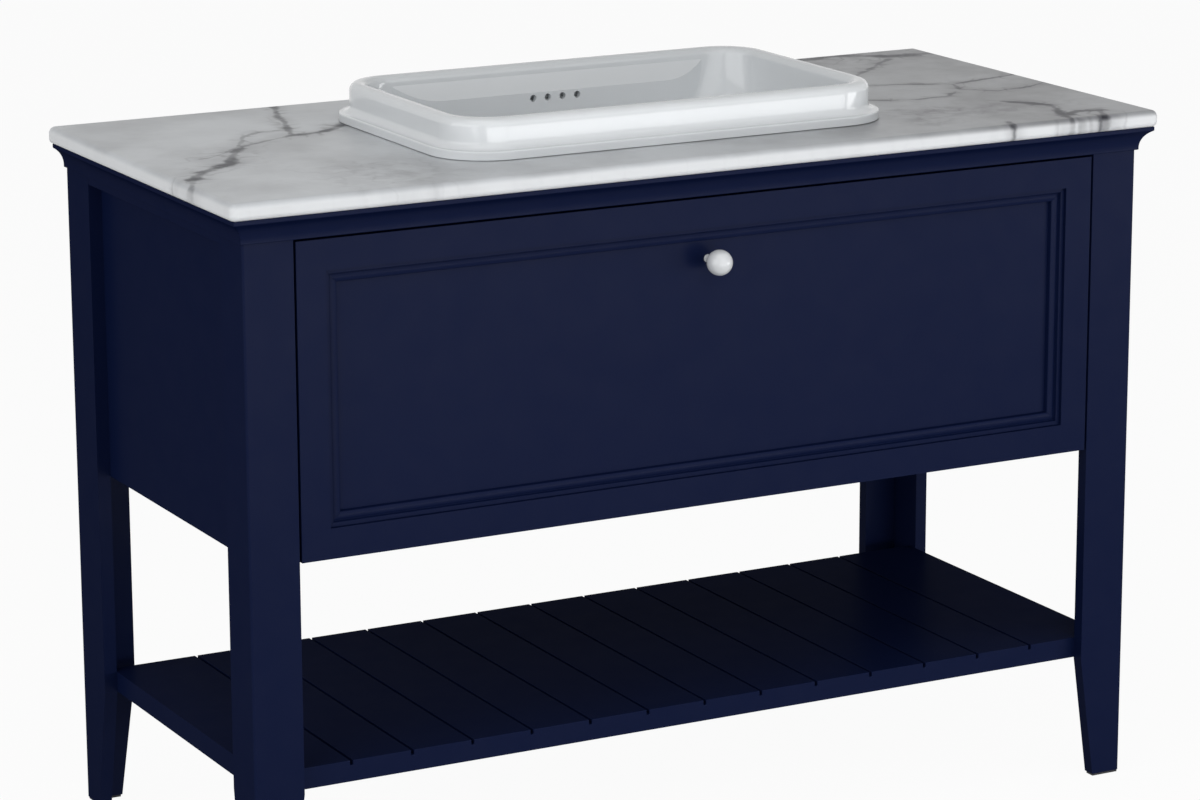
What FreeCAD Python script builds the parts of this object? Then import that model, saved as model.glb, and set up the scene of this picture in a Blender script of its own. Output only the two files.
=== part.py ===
import FreeCAD, Part
import math
import os
import re
import Sketcher
from FreeCAD import Rotation, Vector

# Vanity unit: four angle legs carry a drawer carcass, a slatted shelf and a stone slab with an inset basin.
# Millimetres, X to the right, Y to the back, Z up from the floor, front of the unit towards -Y.

SIZES = {
    # Legs and carcass
    "frame_width": 1160,
    "carcass_height": 812,
    "board": 16,
    "leg_arm": 60,
    "rear_side_arm": 70,
    "foot_arm": 39,
    "leg_round": 3,
    "glide_thickness": 3,
    "glide_inset": 1.5,
    "panel_board": 16,
    "front_bottom": 420,
    "side_rail_height": 39,
    "rear_top_rail_height": 100,
    "rear_bottom_rail_height": 70,
    "wall_hole_diameter": 8,
    "wall_hole_spacing": 800,
    "wall_hole_drop": 45,
    "floor_board": 16,
    "floor_setback": 2,
    # Cornice moulding under the slab
    "cornice_height": 29,
    "cornice_projection": 16,
    "cornice_nosing": 5,
    "cornice_lip_projection": 3,
    "cornice_lip_height": 2.5,
    # Stone slab
    "slab_thickness": 20,
    "slab_overhang": 4,
    "slab_corner": 8,
    "slab_top_round": 8,
    "slab_bottom_round": 6,
    "flange_overlap": 18,
    "cutout_corner": 56,
    # Slatted shelf
    "shelf_top": 178,
    "shelf_thickness": 25,
    "shelf_bearing": 16,
    "groove_count": 13,
    "groove_pitch": 75.8,
    "groove_width": 3.5,
    "groove_depth": 6,
    # Basin above the slab
    "basin_width": 582,
    "basin_depth": 370,
    "basin_corner": 71,
    "basin_height": 46,
    "seal_thickness": 1,
    "seal_inset": 5,
    "seal_width": 8,
    "flange_height": 11,
    "flange_round": 2,
    "flange_flat": 2,
    "cove_radius": 8.5,
    "rim_round": 10,
    "rim_width": 20,
    "rim_inner_round": 9,
    # Bowl of the basin
    "cutout_clearance": 7,
    "bowl_wall": 10,
    "bowl_corner": 42,
    "bowl_middle_drop": 42,
    "bowl_middle_inset": 21,
    "bowl_middle_corner": 55,
    "bowl_floor_drop": 88,
    "bowl_floor_end_inset": 86,
    "bowl_floor_side_inset": 72,
    "bowl_floor_corner": 50,
    "bowl_floor_thickness": 16,
    "bowl_floor_round": 22,
    "ledge_end_gap": 46,
    "ledge_drop": 12,
    "ledge_reach": 15,
    "ledge_height": 13,
    "ledge_end": 60,
    "overflow_diameter": 8.5,
    "overflow_pitch": 20,
    "overflow_height": 6,
    "overflow_depth": 7,
    "chamber_depth": 6,
    "chamber_margin": 6,
    # Waste fitting
    "tail_diameter": 41.9,
    "tail_bore": 36,
    "tail_length": 85,
    "outlet_length": 50,
    "tail_relief_width": 1.5,
    "tail_relief_depth": 0.6,
    "waste_hole_diameter": 46,
    "waste_flange_diameter": 64,
    "waste_flange_thickness": 3,
    "waste_mouth_round": 4.5,
    "waste_recess_diameter": 68,
    "waste_recess_depth": 4,
    "waste_seal_thickness": 1.5,
    "gasket_diameter": 64,
    "gasket_thickness": 6,
    "nut_diameter": 66,
    "nut_thickness": 10,
    "thread_play": 0.05,
    "spider_drop": 22,
    "spider_thickness": 7,
    "spider_arm": 3,
    "hub_diameter": 16,
    "stem_diameter": 10,
    "stem_length": 54,
    "stem_collar": 14,
    "stem_collar_height": 4,
    "plug_diameter": 60,
    "plug_edge": 3,
    "plug_crown": 4,
    "plug_travel": 8,
    "plug_seat_gap": 0.3,
    # Drawer front
    "drawer_gap": 3,
    "front_board": 22,
    "front_frame": 35,
    "panel_recess": 13,
    "moulding_width": 16.5,
    "moulding_top_depth": 4,
    "moulding_bead_depth": 8,
    "moulding_shelf": 5,
    "moulding_step": 1,
    "moulding_bead_round": 9,
    # Knob
    "knob_drop": 38,
    "knob_reach": 30,
    "knob_diameter": 30,
    "knob_neck_diameter": 7.5,
    "knob_base_diameter": 9.5,
    "knob_base_height": 2.5,
    "bolt_diameter": 4,
    "bolt_depth": 14,
    "bolt_head_diameter": 8,
    "bolt_head_height": 2.5,
    "bolt_play": 0.1,
    # Drawer box
    "box_board": 15,
    "box_head_gap": 134,
    "box_lift": 10,
    "bottom_board": 8,
    "bottom_rise": 8,
    "bottom_tongue": 6,
    "tongue_play": 0.3,
    "recess_width": 220,
    "recess_depth": 290,
    "screw_inset": 14,
    "screw_bite": 12,
    # Ball runners of the drawer
    "runner_length": 450,
    "runner_setback": 4,
    "runner_rear_gap": 28,
    "runner_rise": 74,
    "runner_thickness": 12.7,
    "runner_steel": 1.2,
    "outer_height": 45,
    "outer_reach": 11.5,
    "outer_lip": 3,
    "middle_setback": 5,
    "middle_back": 2.2,
    "middle_reach": 10,
    "middle_lip": 3,
    "inner_reach": 4.2,
    "ball_offset": 6,
    "outer_ball_diameter": 4,
    "inner_ball_diameter": 3.2,
    "ball_play": 0.05,
    "cage_play": 0.1,
    "cage_web": 0.4,
    "cage_strip": 1.1,
    "cage_length": 215,
    "cage_start": 110,
    "outer_cage_back": 1.5,
    "outer_cage_reach": 8.8,
    "inner_cage_back": 3.6,
    "inner_cage_reach": 8,
    "packer_height": 60,
    "packer_margin": 5,
}

# Places that follow from the sizes.
PLACES = {
    "frame_depth": "front_board + runner_setback + runner_length + runner_rear_gap + board",
    "front": "-(frame_depth - knob_reach) / 2",
    "back": "front + frame_depth",
    "side": "frame_width / 2",
    "panel_out": "side - board",
    "panel_in": "panel_out - panel_board",
    "opening": "side - leg_arm",
    "legs_in_front": "front + board",
    "legs_in_back": "back - board",
    "shelf_back": "back - rear_side_arm + shelf_bearing",
    "taper_start": "shelf_top - shelf_thickness",
    "cornice_bottom": "carcass_height - cornice_height",
    "slab_side": "side + cornice_projection + slab_overhang",
    "slab_front": "front - cornice_projection - slab_overhang",
    "slab_top": "carcass_height + slab_thickness",
    "basin_y": "(slab_front + back) / 2",
    "flange_bottom": "slab_top + seal_thickness",
    "rim_top": "slab_top + basin_height",
    "band_inset": "flange_round + flange_flat + cove_radius",
    "mouth_width": "basin_width - 2 * (band_inset + rim_width)",
    "mouth_depth": "basin_depth - 2 * (band_inset + rim_width)",
    "cutout_width": "basin_width - 2 * flange_overlap",
    "cutout_depth": "basin_depth - 2 * flange_overlap",
    "bowl_middle_width": "mouth_width - 2 * bowl_middle_inset",
    "bowl_middle_depth": "mouth_depth - 2 * bowl_middle_inset",
    "bowl_floor_width": "mouth_width - 2 * bowl_floor_end_inset",
    "bowl_floor_depth": "mouth_depth - 2 * bowl_floor_side_inset",
    "ledge_width": "mouth_width - 2 * ledge_end_gap",
    "bowl_middle": "slab_top - bowl_middle_drop",
    "bowl_floor": "slab_top - bowl_floor_drop",
    "bowl_bottom": "bowl_floor - bowl_floor_thickness",
    "ledge_back": "basin_y + mouth_depth / 2",
    "ledge_front": "ledge_back - ledge_reach",
    "ledge_edge": "slab_top + ledge_height",
    "overflow_z": "slab_top + overflow_height",
    "recess_floor": "bowl_floor - waste_recess_depth",
    "waste_flange_bottom": "recess_floor + waste_seal_thickness",
    "waste_flange_top": "waste_flange_bottom + waste_flange_thickness",
    "tail_end": "waste_flange_bottom - tail_length",
    "tail_radius": "tail_diameter / 2",
    "outlet_end": "tail_end + outlet_length",
    "relief_radius": "tail_radius - tail_relief_depth",
    "gasket_bottom": "bowl_bottom - gasket_thickness",
    "nut_bottom": "gasket_bottom - nut_thickness",
    "spider_top": "waste_flange_bottom - spider_drop",
    "plug_bottom": "waste_flange_top + plug_travel + plug_seat_gap",
    "front_half": "opening - drawer_gap",
    "front_top": "cornice_bottom - drawer_gap",
    "front_inner": "front + front_board",
    "panel_half": "front_half - front_frame",
    "panel_bottom": "front_bottom + front_frame",
    "panel_top": "front_top - front_frame",
    "panel_face": "front + panel_recess",
    "knob_height": "panel_top - knob_drop",
    "knob_centre": "front - knob_reach + knob_diameter / 2",
    "runner_half": "opening",
    "box_half": "runner_half - runner_thickness",
    "box_in": "box_half - box_board",
    "box_bottom": "front_bottom + floor_board + box_lift",
    "box_top": "front_top - box_head_gap",
    "box_back": "front_inner + runner_length",
    "box_front_in": "front_inner + box_board",
    "bottom_low": "box_bottom + bottom_rise",
    "bottom_top": "bottom_low + bottom_board",
    "recess_half": "recess_width / 2",
    "recess_front": "box_back - recess_depth",
    "screw_x": "box_half - screw_inset",
    "runner_front": "front_inner + runner_setback",
    "runner_back": "runner_front + runner_length",
    "runner_z": "box_bottom + runner_rise",
    "cage_back": "runner_back - cage_start",
    "outer_half": "outer_height / 2",
    "outer_ball": "outer_ball_diameter / 2",
    "outer_ball_z": "outer_half - runner_steel - ball_play - outer_ball",
    "middle_half": "outer_ball_z - outer_ball - ball_play",
    "inner_ball": "inner_ball_diameter / 2",
    "inner_ball_z": "middle_half - runner_steel - ball_play - inner_ball",
    "inner_half": "inner_ball_z - inner_ball - ball_play",
}

BALLS_PER_ROW = 4
SPIDER_ARMS = 3
OVERFLOW_HOLES = 4
SCREWS_PER_STILE = 2
TURNS = {"y": Rotation(Vector(1, 0, 0), -90), "z": Rotation()}

doc = FreeCAD.newDocument("vanity_unit")
sheet = doc.addObject("Spreadsheet::Sheet", "Sizes")
nodes = {}


def fill_sheet():
    """Write each size into a named cell."""
    for row, (name, size) in enumerate(SIZES.items(), start=1):
        sheet.set(f"A{row}", name)
        sheet.set(f"B{row}", str(size))
        sheet.setAlias(f"B{row}", name)
    doc.recompute()


def formula(text):
    """Spell out a formula of sizes and places as one of sheet cells."""

    def spell(match):
        word = match.group(0)
        if word in PLACES:
            return f"({formula(PLACES[word])})"
        if word in SIZES:
            return f"Sizes.{word}"
        return word

    return re.sub(r"[a-z][a-z_]*", spell, str(text))


def number(text):
    """Value of a formula of sizes and places."""
    return float(sheet.evalExpression(formula(text)))


def keep(name, piece):
    """Name a finished piece, so that it is written out."""
    piece.Label = name
    nodes[name] = piece
    return piece


def bind_place(piece, x, y, z):
    """Tie the base point of a piece to three formulas."""
    for axis, text in zip("xyz", (x, y, z)):
        piece.setExpression(f"Placement.Base.{axis}", formula(text))


def block(name, x, y, z):
    """Box between two formulas along each axis."""
    box = doc.addObject("Part::Box", name)
    for edge, (low, high) in zip(("Length", "Width", "Height"), (x, y, z)):
        box.setExpression(edge, formula(f"({high}) - ({low})"))
    bind_place(box, x[0], y[0], z[0])
    return box


def rod(name, axis, start, radius, length):
    """Round bar from a start point along an axis."""
    bar = doc.addObject("Part::Cylinder", name)
    bar.Placement = FreeCAD.Placement(Vector(), TURNS[axis])
    bar.setExpression("Radius", formula(radius))
    bar.setExpression("Height", formula(length))
    bind_place(bar, *start)
    return bar


def ball(name, centre, radius):
    """Sphere at a place."""
    sphere = doc.addObject("Part::Sphere", name)
    sphere.setExpression("Radius", formula(radius))
    bind_place(sphere, *centre)
    return sphere


def cut(name, base, *tools):
    """Base with the tools taken away one after the other."""
    for index, tool in enumerate(tools):
        last = index == len(tools) - 1
        result = doc.addObject("Part::Cut", name if last else f"{name}_cut_{index}")
        result.Base = base
        result.Tool = tool
        base = result
    return base


def join(name, *pieces):
    """Pieces made into one."""
    fused = doc.addObject("Part::MultiFuse", name)
    fused.Shapes = list(pieces)
    return fused


def group(name, pieces):
    """Separate solids that share a node."""
    together = doc.addObject("Part::Compound", name)
    together.Links = list(pieces)
    return together


def mirrored(name, piece):
    """Copy of a left-hand piece on the right-hand side."""
    copy = doc.addObject("Part::Mirroring", name)
    copy.Source = piece
    copy.Normal = Vector(1, 0, 0)
    return copy


def keep_pair(stem, piece):
    """Keep a left-hand piece and its right-hand twin."""
    keep(f"{stem}_left", piece)
    keep(f"{stem}_right", mirrored(f"{stem}_right", piece))


def arc_between(start, end, radius):
    """Shorter arc between two points, bulging to the right of the way for a positive radius."""
    chord = end - start
    half = chord.Length / 2
    middle = (start + end) * 0.5
    left = Vector(-chord.y, chord.x, 0).normalize()
    reach = math.sqrt(max(radius * radius - half * half, 0))
    centre = middle + left * (reach if radius > 0 else -reach)
    first = math.atan2(start.y - centre.y, start.x - centre.x)
    last = math.atan2(end.y - centre.y, end.x - centre.x)
    circle = Part.Circle(centre, Vector(0, 0, 1), abs(radius))
    if radius > 0:
        return Part.ArcOfCircle(circle, first, last)
    return Part.ArcOfCircle(circle, last, first)


def draw(sketch, corners):
    """Closed outline in a sketch, with each corner tied to formulas.

    A corner is (x, y), or (x, y, radius) where an arc leads to it from the corner before.
    """
    points = [Vector(number(corner[0]), number(corner[1]), 0) for corner in corners]
    count = len(corners)
    starts, ends = [], []
    for index in range(count):
        following = (index + 1) % count
        if len(corners[following]) == 3:
            radius = number(corners[following][2])
            edge = arc_between(points[index], points[following], radius)
            forward = radius > 0
        else:
            edge = Part.LineSegment(points[index], points[following])
            forward = True
        geometry = sketch.addGeometry(edge, False)
        starts.append((geometry, 1 if forward else 2))
        ends.append((geometry, 2 if forward else 1))
    for index in range(count):
        following = (index + 1) % count
        sketch.addConstraint(Sketcher.Constraint("Coincident", *ends[index], *starts[following]))
    for index, corner in enumerate(corners):
        for kind, text, where in (("DistanceX", corner[0], "x"), ("DistanceY", corner[1], "y")):
            value = points[index].x if where == "x" else points[index].y
            datum = sketch.addConstraint(Sketcher.Constraint(kind, -1, 1, *starts[index], value))
            sketch.renameConstraint(datum, f"{where}{index}")
            sketch.setExpression(f"Constraints.{where}{index}", formula(text))
        if len(corner) == 3:
            arc = starts[index - 1][0]
            radius = abs(number(corner[2]))
            datum = sketch.addConstraint(Sketcher.Constraint("Radius", arc, radius))
            sketch.renameConstraint(datum, f"radius{index}")
            sketch.setExpression(f"Constraints.radius{index}", formula(f"abs({corner[2]})"))


def sketch_on(body, name, plane, offset=("0", "0", "0")):
    """Sketch on one of a body's own planes, shifted within and along the plane's normal."""
    sketch = body.newObject("Sketcher::SketchObject", name)
    support = next(part for part in body.Origin.OriginFeatures if part.Role == f"{plane}_Plane")
    sketch.AttachmentSupport = [(support, "")]
    sketch.MapMode = "FlatFace"
    for axis, text in zip("xyz", offset):
        sketch.setExpression(f"AttachmentOffset.Base.{axis}", formula(text))
    return sketch


def prism(name, plane, low, high, corners):
    """Body with one outline on a plane, padded between two formulas along the plane's normal."""
    body = doc.addObject("PartDesign::Body", name)
    level = f"-({high})" if plane == "XZ" else low
    sketch = sketch_on(body, f"{name}_outline", plane, ("0", "0", level))
    draw(sketch, corners)
    pad = body.newObject("PartDesign::Pad", f"{name}_pad")
    pad.Profile = sketch
    pad.setExpression("Length", formula(f"({high}) - ({low})"))
    return body


def turned(name, axis, centre, corners):
    """Body turned from a half outline of radius and place along a Y or Z axis."""
    body = doc.addObject("PartDesign::Body", name)
    x, across = centre
    if axis == "z":
        sketch = sketch_on(body, f"{name}_outline", "XZ", (x, "0", f"-({across})"))
    else:
        sketch = sketch_on(body, f"{name}_outline", "XY", (x, "0", across))
    draw(sketch, corners)
    revolution = body.newObject("PartDesign::Revolution", f"{name}_turn")
    revolution.Profile = sketch
    revolution.ReferenceAxis = (sketch, ["V_Axis"])
    revolution.Angle = 360
    return body


def edges_where(shape, test):
    """Names of the edges whose middle point passes a test."""
    names = []
    for index, edge in enumerate(shape.Edges, start=1):
        middle = edge.valueAt((edge.FirstParameter + edge.LastParameter) / 2)
        if test(middle):
            names.append(f"Edge{index}")
    return names


def round_edges(body, name, radius, test):
    """Fillet on the edges of a body that pass a test."""
    doc.recompute()
    base = body.Tip
    fillet = body.newObject("PartDesign::Fillet", name)
    fillet.Base = (base, edges_where(base.Shape, test))
    fillet.setExpression("Radius", formula(radius))
    return fillet


def close(first, second, within=0.01):
    """Whether two numbers agree."""
    return abs(first - second) < within


def rounded_rectangle(width, depth, corner, middle_y):
    """Corners of a rounded rectangle, starting halfway along its right-hand side."""
    right, left = f"({width}) / 2", f"-({width}) / 2"
    low, high = f"{middle_y} - ({depth}) / 2", f"{middle_y} + ({depth}) / 2"
    return [
        (right, middle_y),
        (right, f"{high} - ({corner})"),
        (f"{right} - ({corner})", high, corner),
        (f"{left} + ({corner})", high),
        (left, f"{high} - ({corner})", corner),
        (left, f"{low} + ({corner})"),
        (f"{left} + ({corner})", low, corner),
        (f"{right} - ({corner})", low),
        (right, f"{low} + ({corner})", corner),
    ]


# Legs: two tapered boards joined at a right angle, with the outer corner rounded.

def leg(name, corner_y, towards, side_arm):
    """Angle leg of the left side; towards is the sign of Y from its outer corner to the unit's middle."""
    foot = "glide_thickness"

    def arm(origin, sign, width):
        """Outline of one arm in the plane of its face."""
        return [
            (origin, foot),
            (f"{origin} + ({sign}) * foot_arm", foot),
            (f"{origin} + ({sign}) * {width}", "taper_start"),
            (f"{origin} + ({sign}) * {width}", "carcass_height"),
            (origin, "carcass_height"),
        ]

    faces = (corner_y, f"{corner_y} + ({towards}) * board")
    low, high = faces if towards > 0 else faces[::-1]
    body = prism(name, "XZ", low, high, arm("-side", 1, "leg_arm"))
    sketch = sketch_on(body, f"{name}_side_outline", "YZ", ("0", "0", "-side"))
    draw(sketch, arm(corner_y, towards, side_arm))
    pad = body.newObject("PartDesign::Pad", f"{name}_side_pad")
    pad.Profile = sketch
    pad.setExpression("Length", formula("board"))
    outer_x, outer_y = number("-side"), number(corner_y)

    def on_corner(middle):
        """Edge along the leg's outer corner."""
        return close(middle.x, outer_x) and close(middle.y, outer_y)

    round_edges(body, f"{name}_round", "leg_round", on_corner)
    return body


def build_legs():
    """Four legs, and the glides under their feet."""
    keep_pair("leg_front", leg("leg_front_left", "front", 1, "leg_arm"))
    keep_pair("leg_rear", leg("leg_rear_left", "back", -1, "rear_side_arm"))
    glides = []
    for stem, corner_y, towards in (("front", "front", 1), ("rear", "back", -1)):
        left, inner = "-side + glide_inset", "-side + board - glide_inset"
        outer_y = f"{corner_y} + ({towards}) * glide_inset"
        inner_y = f"{corner_y} + ({towards}) * (board - glide_inset)"
        end_x = "-side + foot_arm - glide_inset"
        end_y = f"{corner_y} + ({towards}) * (foot_arm - glide_inset)"
        corners = [
            (left, outer_y),
            (end_x, outer_y),
            (end_x, inner_y),
            (inner, inner_y),
            (inner, end_y),
            (left, end_y),
        ]
        glide = prism(f"glide_{stem}_left", "XY", "0", "glide_thickness", corners)
        glides += [glide, mirrored(f"glide_{stem}_right", glide)]
    keep("foot_glides", group("foot_glides", glides))


def build_carcass():
    """Side panels, rails and floor of the drawer carcass."""
    inside = ("legs_in_front", "legs_in_back")
    walls = ("front_bottom", "carcass_height")
    keep_pair("side_panel", block("side_panel_left", ("-panel_out", "-panel_in"), inside, walls))
    rail = block(
        "side_rail_left",
        ("-side", "-panel_out"),
        ("front + leg_arm", "back - rear_side_arm"),
        ("carcass_height - side_rail_height", "carcass_height"),
    )
    keep_pair("side_rail", rail)
    across = ("-opening", "opening")
    behind = ("legs_in_back", "back")
    ahead = ("front", "legs_in_front")
    keep("front_top_rail", block("front_top_rail", across, ahead, ("cornice_bottom", "carcass_height")))
    rail_bottom = "carcass_height - rear_top_rail_height"
    rear_rail = block("rear_top_rail_blank", across, behind, (rail_bottom, "carcass_height"))
    holes = []
    for index, sign in enumerate((-1, 1)):
        start = (f"({sign}) * wall_hole_spacing / 2", "legs_in_back", "carcass_height - wall_hole_drop")
        holes.append(rod(f"wall_hole_{index}", "y", start, "wall_hole_diameter / 2", "board"))
    keep("rear_top_rail", cut("rear_top_rail", rear_rail, *holes))
    low_rail_top = "front_bottom + rear_bottom_rail_height"
    keep("rear_bottom_rail", block("rear_bottom_rail", across, behind, ("front_bottom", low_rail_top)))
    floor_depth = ("front_inner + floor_setback", "legs_in_back")
    floor_height = ("front_bottom", "front_bottom + floor_board")
    keep("carcass_floor", block("carcass_floor", ("-panel_in", "panel_in"), floor_depth, floor_height))


def build_shelf():
    """Shelf between the legs, grooved from front to back as if made of slats."""
    body = prism(
        "shelf_panel",
        "XY",
        "taper_start",
        "shelf_top",
        [
            ("-panel_out", "legs_in_front"),
            ("panel_out", "legs_in_front"),
            ("panel_out", "shelf_back"),
            ("-panel_out", "shelf_back"),
        ],
    )
    first = "-(groove_count - 1) / 2 * groove_pitch"
    groove = sketch_on(body, "shelf_groove_outline", "XZ", ("0", "0", "-(shelf_back)"))
    draw(
        groove,
        [
            (f"{first} - groove_width / 2", "shelf_top - groove_depth"),
            (f"{first} + groove_width / 2", "shelf_top - groove_depth"),
            (f"{first} + groove_width / 2", "shelf_top"),
            (f"{first} - groove_width / 2", "shelf_top"),
        ],
    )
    doc.recompute()
    pocket = body.newObject("PartDesign::Pocket", "shelf_groove")
    pocket.Profile = groove
    pocket.Reversed = True
    pocket.setExpression("Length", formula("shelf_back - legs_in_front"))
    doc.recompute()
    pattern = body.newObject("PartDesign::LinearPattern", "shelf_grooves")
    pattern.Originals = [pocket]
    direction = next(part for part in body.Origin.OriginFeatures if part.Role == "X_Axis")
    pattern.Direction = (direction, [""])
    pattern.setExpression("Length", formula("(groove_count - 1) * groove_pitch"))
    pattern.setExpression("Occurrences", formula("groove_count"))
    body.Tip = pattern
    doc.recompute()
    whole = number("2 * panel_out * (shelf_back - legs_in_front) * shelf_thickness")
    grooves = number("groove_count * groove_width * groove_depth * (shelf_back - legs_in_front)")
    if not close(body.Shape.Volume / (whole - grooves), 1, 1e-6):
        raise RuntimeError("the shelf's grooves were not cut")
    keep("shelf_panel", body)


def cornice_section(face, out, top):
    """Cove moulding between a face and the slab; out is the sign of the way it projects."""
    lip = f"{face} + ({out}) * cornice_lip_projection"
    nose = f"{face} + ({out}) * cornice_projection"
    bottom = f"{top} - cornice_height"
    cove_low = f"{bottom} + cornice_lip_height"
    cove_high = f"{top} - cornice_nosing"
    rise = "(cornice_height - cornice_lip_height - cornice_nosing)"
    run = "(cornice_projection - cornice_lip_projection)"
    radius = f"({out}) * ({rise} * {rise} + {run} * {run}) / (2 * {run})"
    return [
        (face, bottom),
        (lip, bottom),
        (lip, cove_low),
        (nose, cove_high, f"-({radius})"),
        (nose, top),
        (face, top),
    ]


def build_cornice():
    """Cove moulding on the front and both sides, mitred at the front corners."""
    nose_x, nose_y = "side + cornice_projection", "front - cornice_projection"
    height = ("cornice_bottom", "carcass_height")
    section = cornice_section("front", -1, "carcass_height")
    blank = prism("cornice_front_blank", "YZ", f"-({nose_x})", nose_x, section)
    mitres = []
    for index, sign in enumerate((-1, 1)):
        corners = [
            (f"({sign}) * side", "front"),
            (f"({sign}) * ({nose_x})", nose_y),
            (f"({sign}) * ({nose_x})", "front"),
        ]
        mitres.append(prism(f"cornice_front_mitre_{index}", "XY", *height, corners))
    keep("cornice_front", cut("cornice_front", blank, *mitres))
    section = cornice_section("-side", -1, "carcass_height")
    blank = prism("cornice_left_blank", "XZ", nose_y, "back", section)
    corners = [("-side", "front"), ("-side", nose_y), (f"-({nose_x})", nose_y)]
    mitre = prism("cornice_left_mitre", "XY", *height, corners)
    keep_pair("cornice", cut("cornice_left", blank, mitre))


def build_slab():
    """Stone slab with rounded front and side edges and the opening for the basin."""
    body = prism(
        "slab_blank",
        "XY",
        "carcass_height",
        "slab_top",
        [
            ("-slab_side + slab_corner", "slab_front", "slab_corner"),
            ("slab_side - slab_corner", "slab_front"),
            ("slab_side", "slab_front + slab_corner", "slab_corner"),
            ("slab_side", "back"),
            ("-slab_side", "back"),
            ("-slab_side", "slab_front + slab_corner"),
        ],
    )
    back = number("back")
    for name, level, radius in (
        ("slab_top_edge", "slab_top", "slab_top_round"),
        ("slab_bottom_edge", "carcass_height", "slab_bottom_round"),
    ):
        height = number(level)

        def on_edge(middle):
            """Edge at this level, other than the one along the back."""
            return close(middle.z, height) and not close(middle.y, back)

        round_edges(body, name, radius, on_edge)
    doc.recompute()
    opening = rounded_rectangle("cutout_width", "cutout_depth", "cutout_corner", "basin_y")
    hole = prism("slab_opening", "XY", "carcass_height", "slab_top", opening)
    keep("slab", cut("slab", body, hole))


# Basin: an ogee-edged block that rests on the slab, with a lofted bowl hung below it.

def loft_sections(body, stem, sections):
    """Rounded rectangles at rising or falling heights, for a loft."""
    sketches = []
    for index, (height, width, depth, corner) in enumerate(sections):
        sketch = sketch_on(body, f"{stem}_section_{index}", "XY", ("0", "0", height))
        draw(sketch, rounded_rectangle(width, depth, corner, "basin_y"))
        sketches.append(sketch)
    return sketches


def basin_body():
    """Flange, cove, band and rim with the bowl hollowed out."""
    body = prism(
        "basin_shell",
        "XY",
        "flange_bottom",
        "rim_top",
        rounded_rectangle("basin_width", "basin_depth", "basin_corner", "basin_y"),
    )
    edge, outside = "basin_width / 2", "basin_width / 2 + flange_round"
    band = f"{edge} - band_inset"
    flange_top = "slab_top + flange_height"
    above = "rim_top + flange_round"
    spine = sketch_on(body, "basin_edge_spine", "XY", ("0", "0", "rim_top"))
    draw(spine, rounded_rectangle("basin_width", "basin_depth", "basin_corner", "basin_y"))
    section = sketch_on(body, "basin_edge_section", "XZ", ("0", "0", "-(basin_y)"))
    draw(
        section,
        [
            (f"{band} - rim_round", "rim_top"),
            (f"{band}", "rim_top - rim_round", "-rim_round"),
            (f"{band}", f"{flange_top} + cove_radius"),
            (f"{band} + cove_radius", flange_top, "cove_radius"),
            (f"{edge} - flange_round", flange_top),
            (edge, f"{flange_top} - flange_round", "-flange_round"),
            (outside, f"{flange_top} - flange_round"),
            (outside, above),
            (f"{band} - rim_round", above),
        ],
    )
    doc.recompute()
    ogee = body.newObject("PartDesign::SubtractivePipe", "basin_edge")
    ogee.Profile = section
    ogee.Spine = (spine, [f"Edge{index + 1}" for index in range(len(spine.Shape.Edges))])
    doc.recompute()
    bowl = body.newObject("PartDesign::AdditiveLoft", "basin_bowl")
    sections = loft_sections(
        body,
        "basin_bowl",
        [
            (
                "flange_bottom",
                "cutout_width - 2 * cutout_clearance",
                "cutout_depth - 2 * cutout_clearance",
                "cutout_corner - cutout_clearance",
            ),
            (
                "bowl_middle",
                "bowl_middle_width + 2 * bowl_wall",
                "bowl_middle_depth + 2 * bowl_wall",
                "bowl_middle_corner + bowl_wall",
            ),
            (
                "bowl_bottom",
                "bowl_floor_width + 2 * bowl_wall",
                "bowl_floor_depth + 2 * bowl_wall",
                "bowl_floor_corner + bowl_wall",
            ),
        ],
    )
    bowl.Profile = sections[0]
    bowl.Sections = sections[1:]
    doc.recompute()
    hollow = body.newObject("PartDesign::SubtractiveLoft", "basin_hollow")
    sections = loft_sections(
        body,
        "basin_hollow",
        [
            ("rim_top", "mouth_width", "mouth_depth", "bowl_corner"),
            ("bowl_middle", "bowl_middle_width", "bowl_middle_depth", "bowl_middle_corner"),
            ("bowl_floor", "bowl_floor_width", "bowl_floor_depth", "bowl_floor_corner"),
        ],
    )
    hollow.Profile = sections[0]
    hollow.Sections = sections[1:]
    half_width, half_depth = number("mouth_width / 2"), number("mouth_depth / 2")
    middle_y, rim, floor = number("basin_y"), number("rim_top"), number("bowl_floor")

    def on_mouth(middle):
        """Edge where the bowl opens into the top of the rim."""
        within = abs(middle.x) < half_width + 0.1 and abs(middle.y - middle_y) < half_depth + 0.1
        return within and close(middle.z, rim)

    round_edges(body, "basin_mouth_round", "rim_inner_round", on_mouth)
    round_edges(body, "basin_floor_round", "bowl_floor_round", lambda middle: close(middle.z, floor))
    doc.recompute()
    return body


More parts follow.
